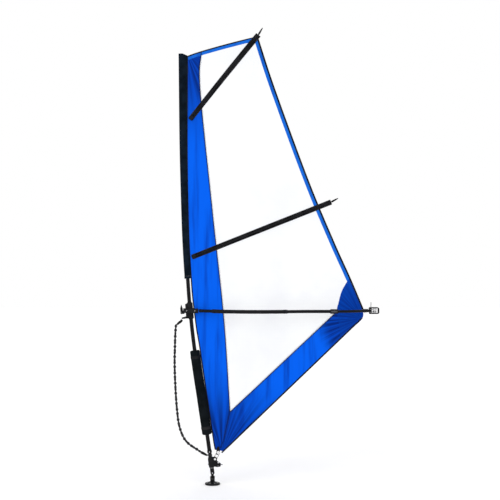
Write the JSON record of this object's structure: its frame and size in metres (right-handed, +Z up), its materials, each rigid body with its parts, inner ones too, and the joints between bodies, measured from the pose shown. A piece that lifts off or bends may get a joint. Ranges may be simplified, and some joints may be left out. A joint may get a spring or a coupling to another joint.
{
  "type": "windsurf sail rig",
  "caption": "Windsurf rig standing on its foot: curved mast, battened sail with a luff sleeve, wishbone boom with telescoping tail, universal joint, downhaul, outhaul and uphaul.",
  "frame": {"origin": "centre of the foot pad's underside, where the rig stands on a board", "axes": "+X from the mast towards the clew, +Y across the sail, away from its rounded side, +Z up"},
  "size_m": [1.85, 0.4706, 4.1093],
  "materials": {
    "carbon_black": "satin carbon composite",
    "moulded_black": "fine moulded texture",
    "sleeve_black": "woven polyester",
    "sail_blue": "coated sailcloth",
    "sail_film": "white sailcloth",
    "pad_foam": "closed-cell foam",
    "rubber_black": "moulded rubber",
    "stainless_steel": "turned and polished",
    "anodised_black": "black anodised",
    "sheave_white": "acetal",
    "rope_black": "braided",
    "lever_grey": "moulded"
  },
  "bodies": {
    "rig": {"mast_bottom": "carbon_black", "mast_top": "carbon_black", "mast_cap": "moulded_black", "luff_sleeve": "sleeve_black", "sail_luff_panel": "sail_blue", "sail_window": "sail_film", "sail_foot_panel": "sail_blue", "sail_clew_patch": "sail_blue", "batten_pocket_lower": "sleeve_black", "batten_pocket_upper": "sleeve_black", "batten_lower": "carbon_black", "batten_upper": "carbon_black", "mast_pad": "pad_foam", "mast_yoke": "moulded_black", "mast_pin": "stainless_steel", "extension_tube": "anodised_black", "extension_head": "moulded_black", "downhaul_axle": "stainless_steel", "clam_cleat": "anodised_black", "extension_collar": "moulded_black", "collar_pin": "stainless_steel", "tack_block": "moulded_black", "tack_pin": "stainless_steel", "downhaul_line": "rope_black", "uphaul_strap": "sleeve_black", "uphaul_grip": "rubber_black", "uphaul_line": "rope_black", "uphaul_toggle": "rubber_black", "clamp_liner": "rubber_black", "clamp_body": "moulded_black", "clew_ring": "stainless_steel"},
    "joint_link": {"joint_link": "rubber_black", "mast_pivot_pin": "stainless_steel", "foot_pivot_pin": "stainless_steel"},
    "foot_yoke": {"foot_yoke": "moulded_black"},
    "foot": {"foot_disc": "moulded_black", "foot_pad": "rubber_black"},
    "downhaul_sheave_near": {"downhaul_sheave_near": "sheave_white"},
    "downhaul_sheave_far": {"downhaul_sheave_far": "sheave_white"},
    "tack_roller": {"tack_roller": "sheave_white"},
    "release_button": {"release_button": "lever_grey"},
    "boom": {"boom_head": "moulded_black", "lever_pin": "stainless_steel", "boom_arm_near": "anodised_black", "boom_arm_far": "anodised_black", "boom_grip_near": "pad_foam", "boom_grip_far": "pad_foam", "boom_clip_near": "moulded_black", "boom_clip_far": "moulded_black"},
    "clamp_lever": {"clamp_lever": "moulded_black"},
    "clip_lever_near": {"clip_lever_near": "lever_grey"},
    "clip_lever_far": {"clip_lever_far": "lever_grey"},
    "boom_tail": {"tail_tube_near": "anodised_black", "tail_tube_far": "anodised_black", "tail_head": "moulded_black", "outhaul_axle": "stainless_steel", "outhaul_line": "rope_black"},
    "outhaul_sheave_upper": {"outhaul_sheave_upper": "sheave_white"},
    "outhaul_sheave_lower": {"outhaul_sheave_lower": "sheave_white"}
  },
  "joints": [
    {"name": "mast_tilt", "type": "hinge", "parent": "rig", "child": "joint_link", "pos_m": [0, 0, 0.106], "axis": [0, 1, 0], "range_deg": [-75, 75]},
    {"name": "mast_sideways_tilt", "type": "hinge", "parent": "joint_link", "child": "foot_yoke", "pos_m": [0, 0, 0.064], "axis": [1, 0, 0], "range_deg": [-75, 75]},
    {"name": "foot_swivel", "type": "hinge", "parent": "foot_yoke", "child": "foot", "pos_m": [0, 0, 0.041], "axis": [0, 0, 1], "continuous": true},
    {"name": "downhaul_sheave_near_spin", "type": "hinge", "parent": "rig", "child": "downhaul_sheave_near", "pos_m": [0.02304, 0, 0.22941], "axis": [0, 1, 0], "continuous": true},
    {"name": "downhaul_sheave_far_spin", "type": "hinge", "parent": "rig", "child": "downhaul_sheave_far", "pos_m": [0.02304, 0, 0.22941], "axis": [0, 1, 0], "continuous": true},
    {"name": "tack_roller_spin", "type": "hinge", "parent": "rig", "child": "tack_roller", "pos_m": [0.052, 0, 0.288], "axis": [0, 1, 0], "continuous": true},
    {"name": "release_button_press", "type": "slide", "parent": "rig", "child": "release_button", "axis": [0.9903, 0, 0.1392], "range_m": [0, 0.003], "stiffness_N_per_m": 300},
    {"name": "boom_pitch", "type": "hinge", "parent": "rig", "child": "boom", "pos_m": [-0.2005, 0, 1.565], "axis": [0, 1, 0], "range_deg": [-3, 3], "deforming": ["outhaul_line"]},
    {"name": "clamp_lever_open", "type": "hinge", "parent": "boom", "child": "clamp_lever", "pos_m": [-0.2785, 0, 1.5445], "axis": [0, -1, 0], "range_deg": [0, 90]},
    {"name": "clip_lever_near_open", "type": "hinge", "parent": "boom", "child": "clip_lever_near", "pos_m": [1.108, -0.1755, 1.565], "axis": [0, 0, 1], "range_deg": [0, 80]},
    {"name": "clip_lever_far_open", "type": "hinge", "parent": "boom", "child": "clip_lever_far", "pos_m": [1.108, 0.1755, 1.565], "axis": [0, 0, -1], "range_deg": [0, 80]},
    {"name": "tail_slide", "type": "slide", "parent": "boom", "child": "boom_tail", "axis": [1, 0, 0], "range_m": [0, 0.2], "deforming": ["outhaul_line"]},
    {"name": "outhaul_sheave_upper_spin", "type": "hinge", "parent": "boom_tail", "child": "outhaul_sheave_upper", "pos_m": [1.458, 0, 1.5755], "axis": [0, 0, 1], "continuous": true},
    {"name": "outhaul_sheave_lower_spin", "type": "hinge", "parent": "boom_tail", "child": "outhaul_sheave_lower", "pos_m": [1.458, 0, 1.5545], "axis": [0, 0, 1], "continuous": true}
  ]
}
